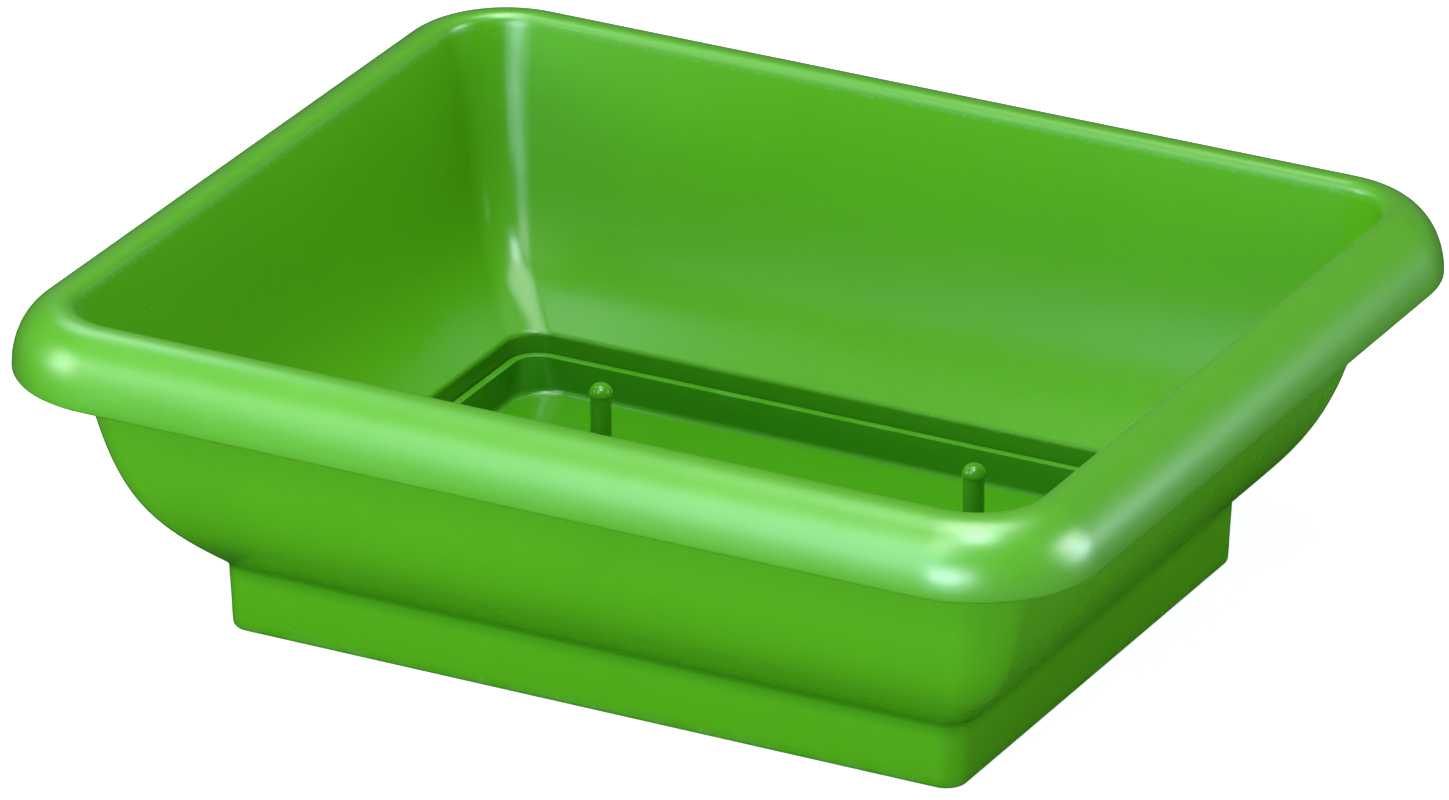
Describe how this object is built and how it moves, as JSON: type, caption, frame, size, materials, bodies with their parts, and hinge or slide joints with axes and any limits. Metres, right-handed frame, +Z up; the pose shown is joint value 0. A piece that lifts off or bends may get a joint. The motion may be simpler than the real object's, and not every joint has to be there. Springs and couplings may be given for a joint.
{
  "type": "rectangular panning basin",
  "caption": "Rectangular plastic panning basin with a wide rolled rim, bowl-shaped walls, a hollow foot, and a lift-out tray that carries upright pegs.",
  "frame": {"origin": "centre of the flat face the basin stands on", "axes": "+X along the basin's length, +Y along its width, +Z up out of the mouth"},
  "size_m": [0.35, 0.298, 0.11],
  "materials": {
    "basin_plastic": "glossy injection-moulded green plastic",
    "tray_plastic": "glossy injection-moulded green plastic",
    "peg_plastic": "glossy turned green plastic"
  },
  "bodies": {
    "basin": {"basin": "basin_plastic"},
    "tray": {"well_tray": "tray_plastic", "peg_1": "peg_plastic", "peg_2": "peg_plastic", "peg_3": "peg_plastic", "peg_4": "peg_plastic"}
  },
  "joints": [
    {"name": "tray_lift", "type": "slide", "parent": "basin", "child": "tray", "axis": [0, 0, 1], "range_m": [0, 0.13]}
  ]
}
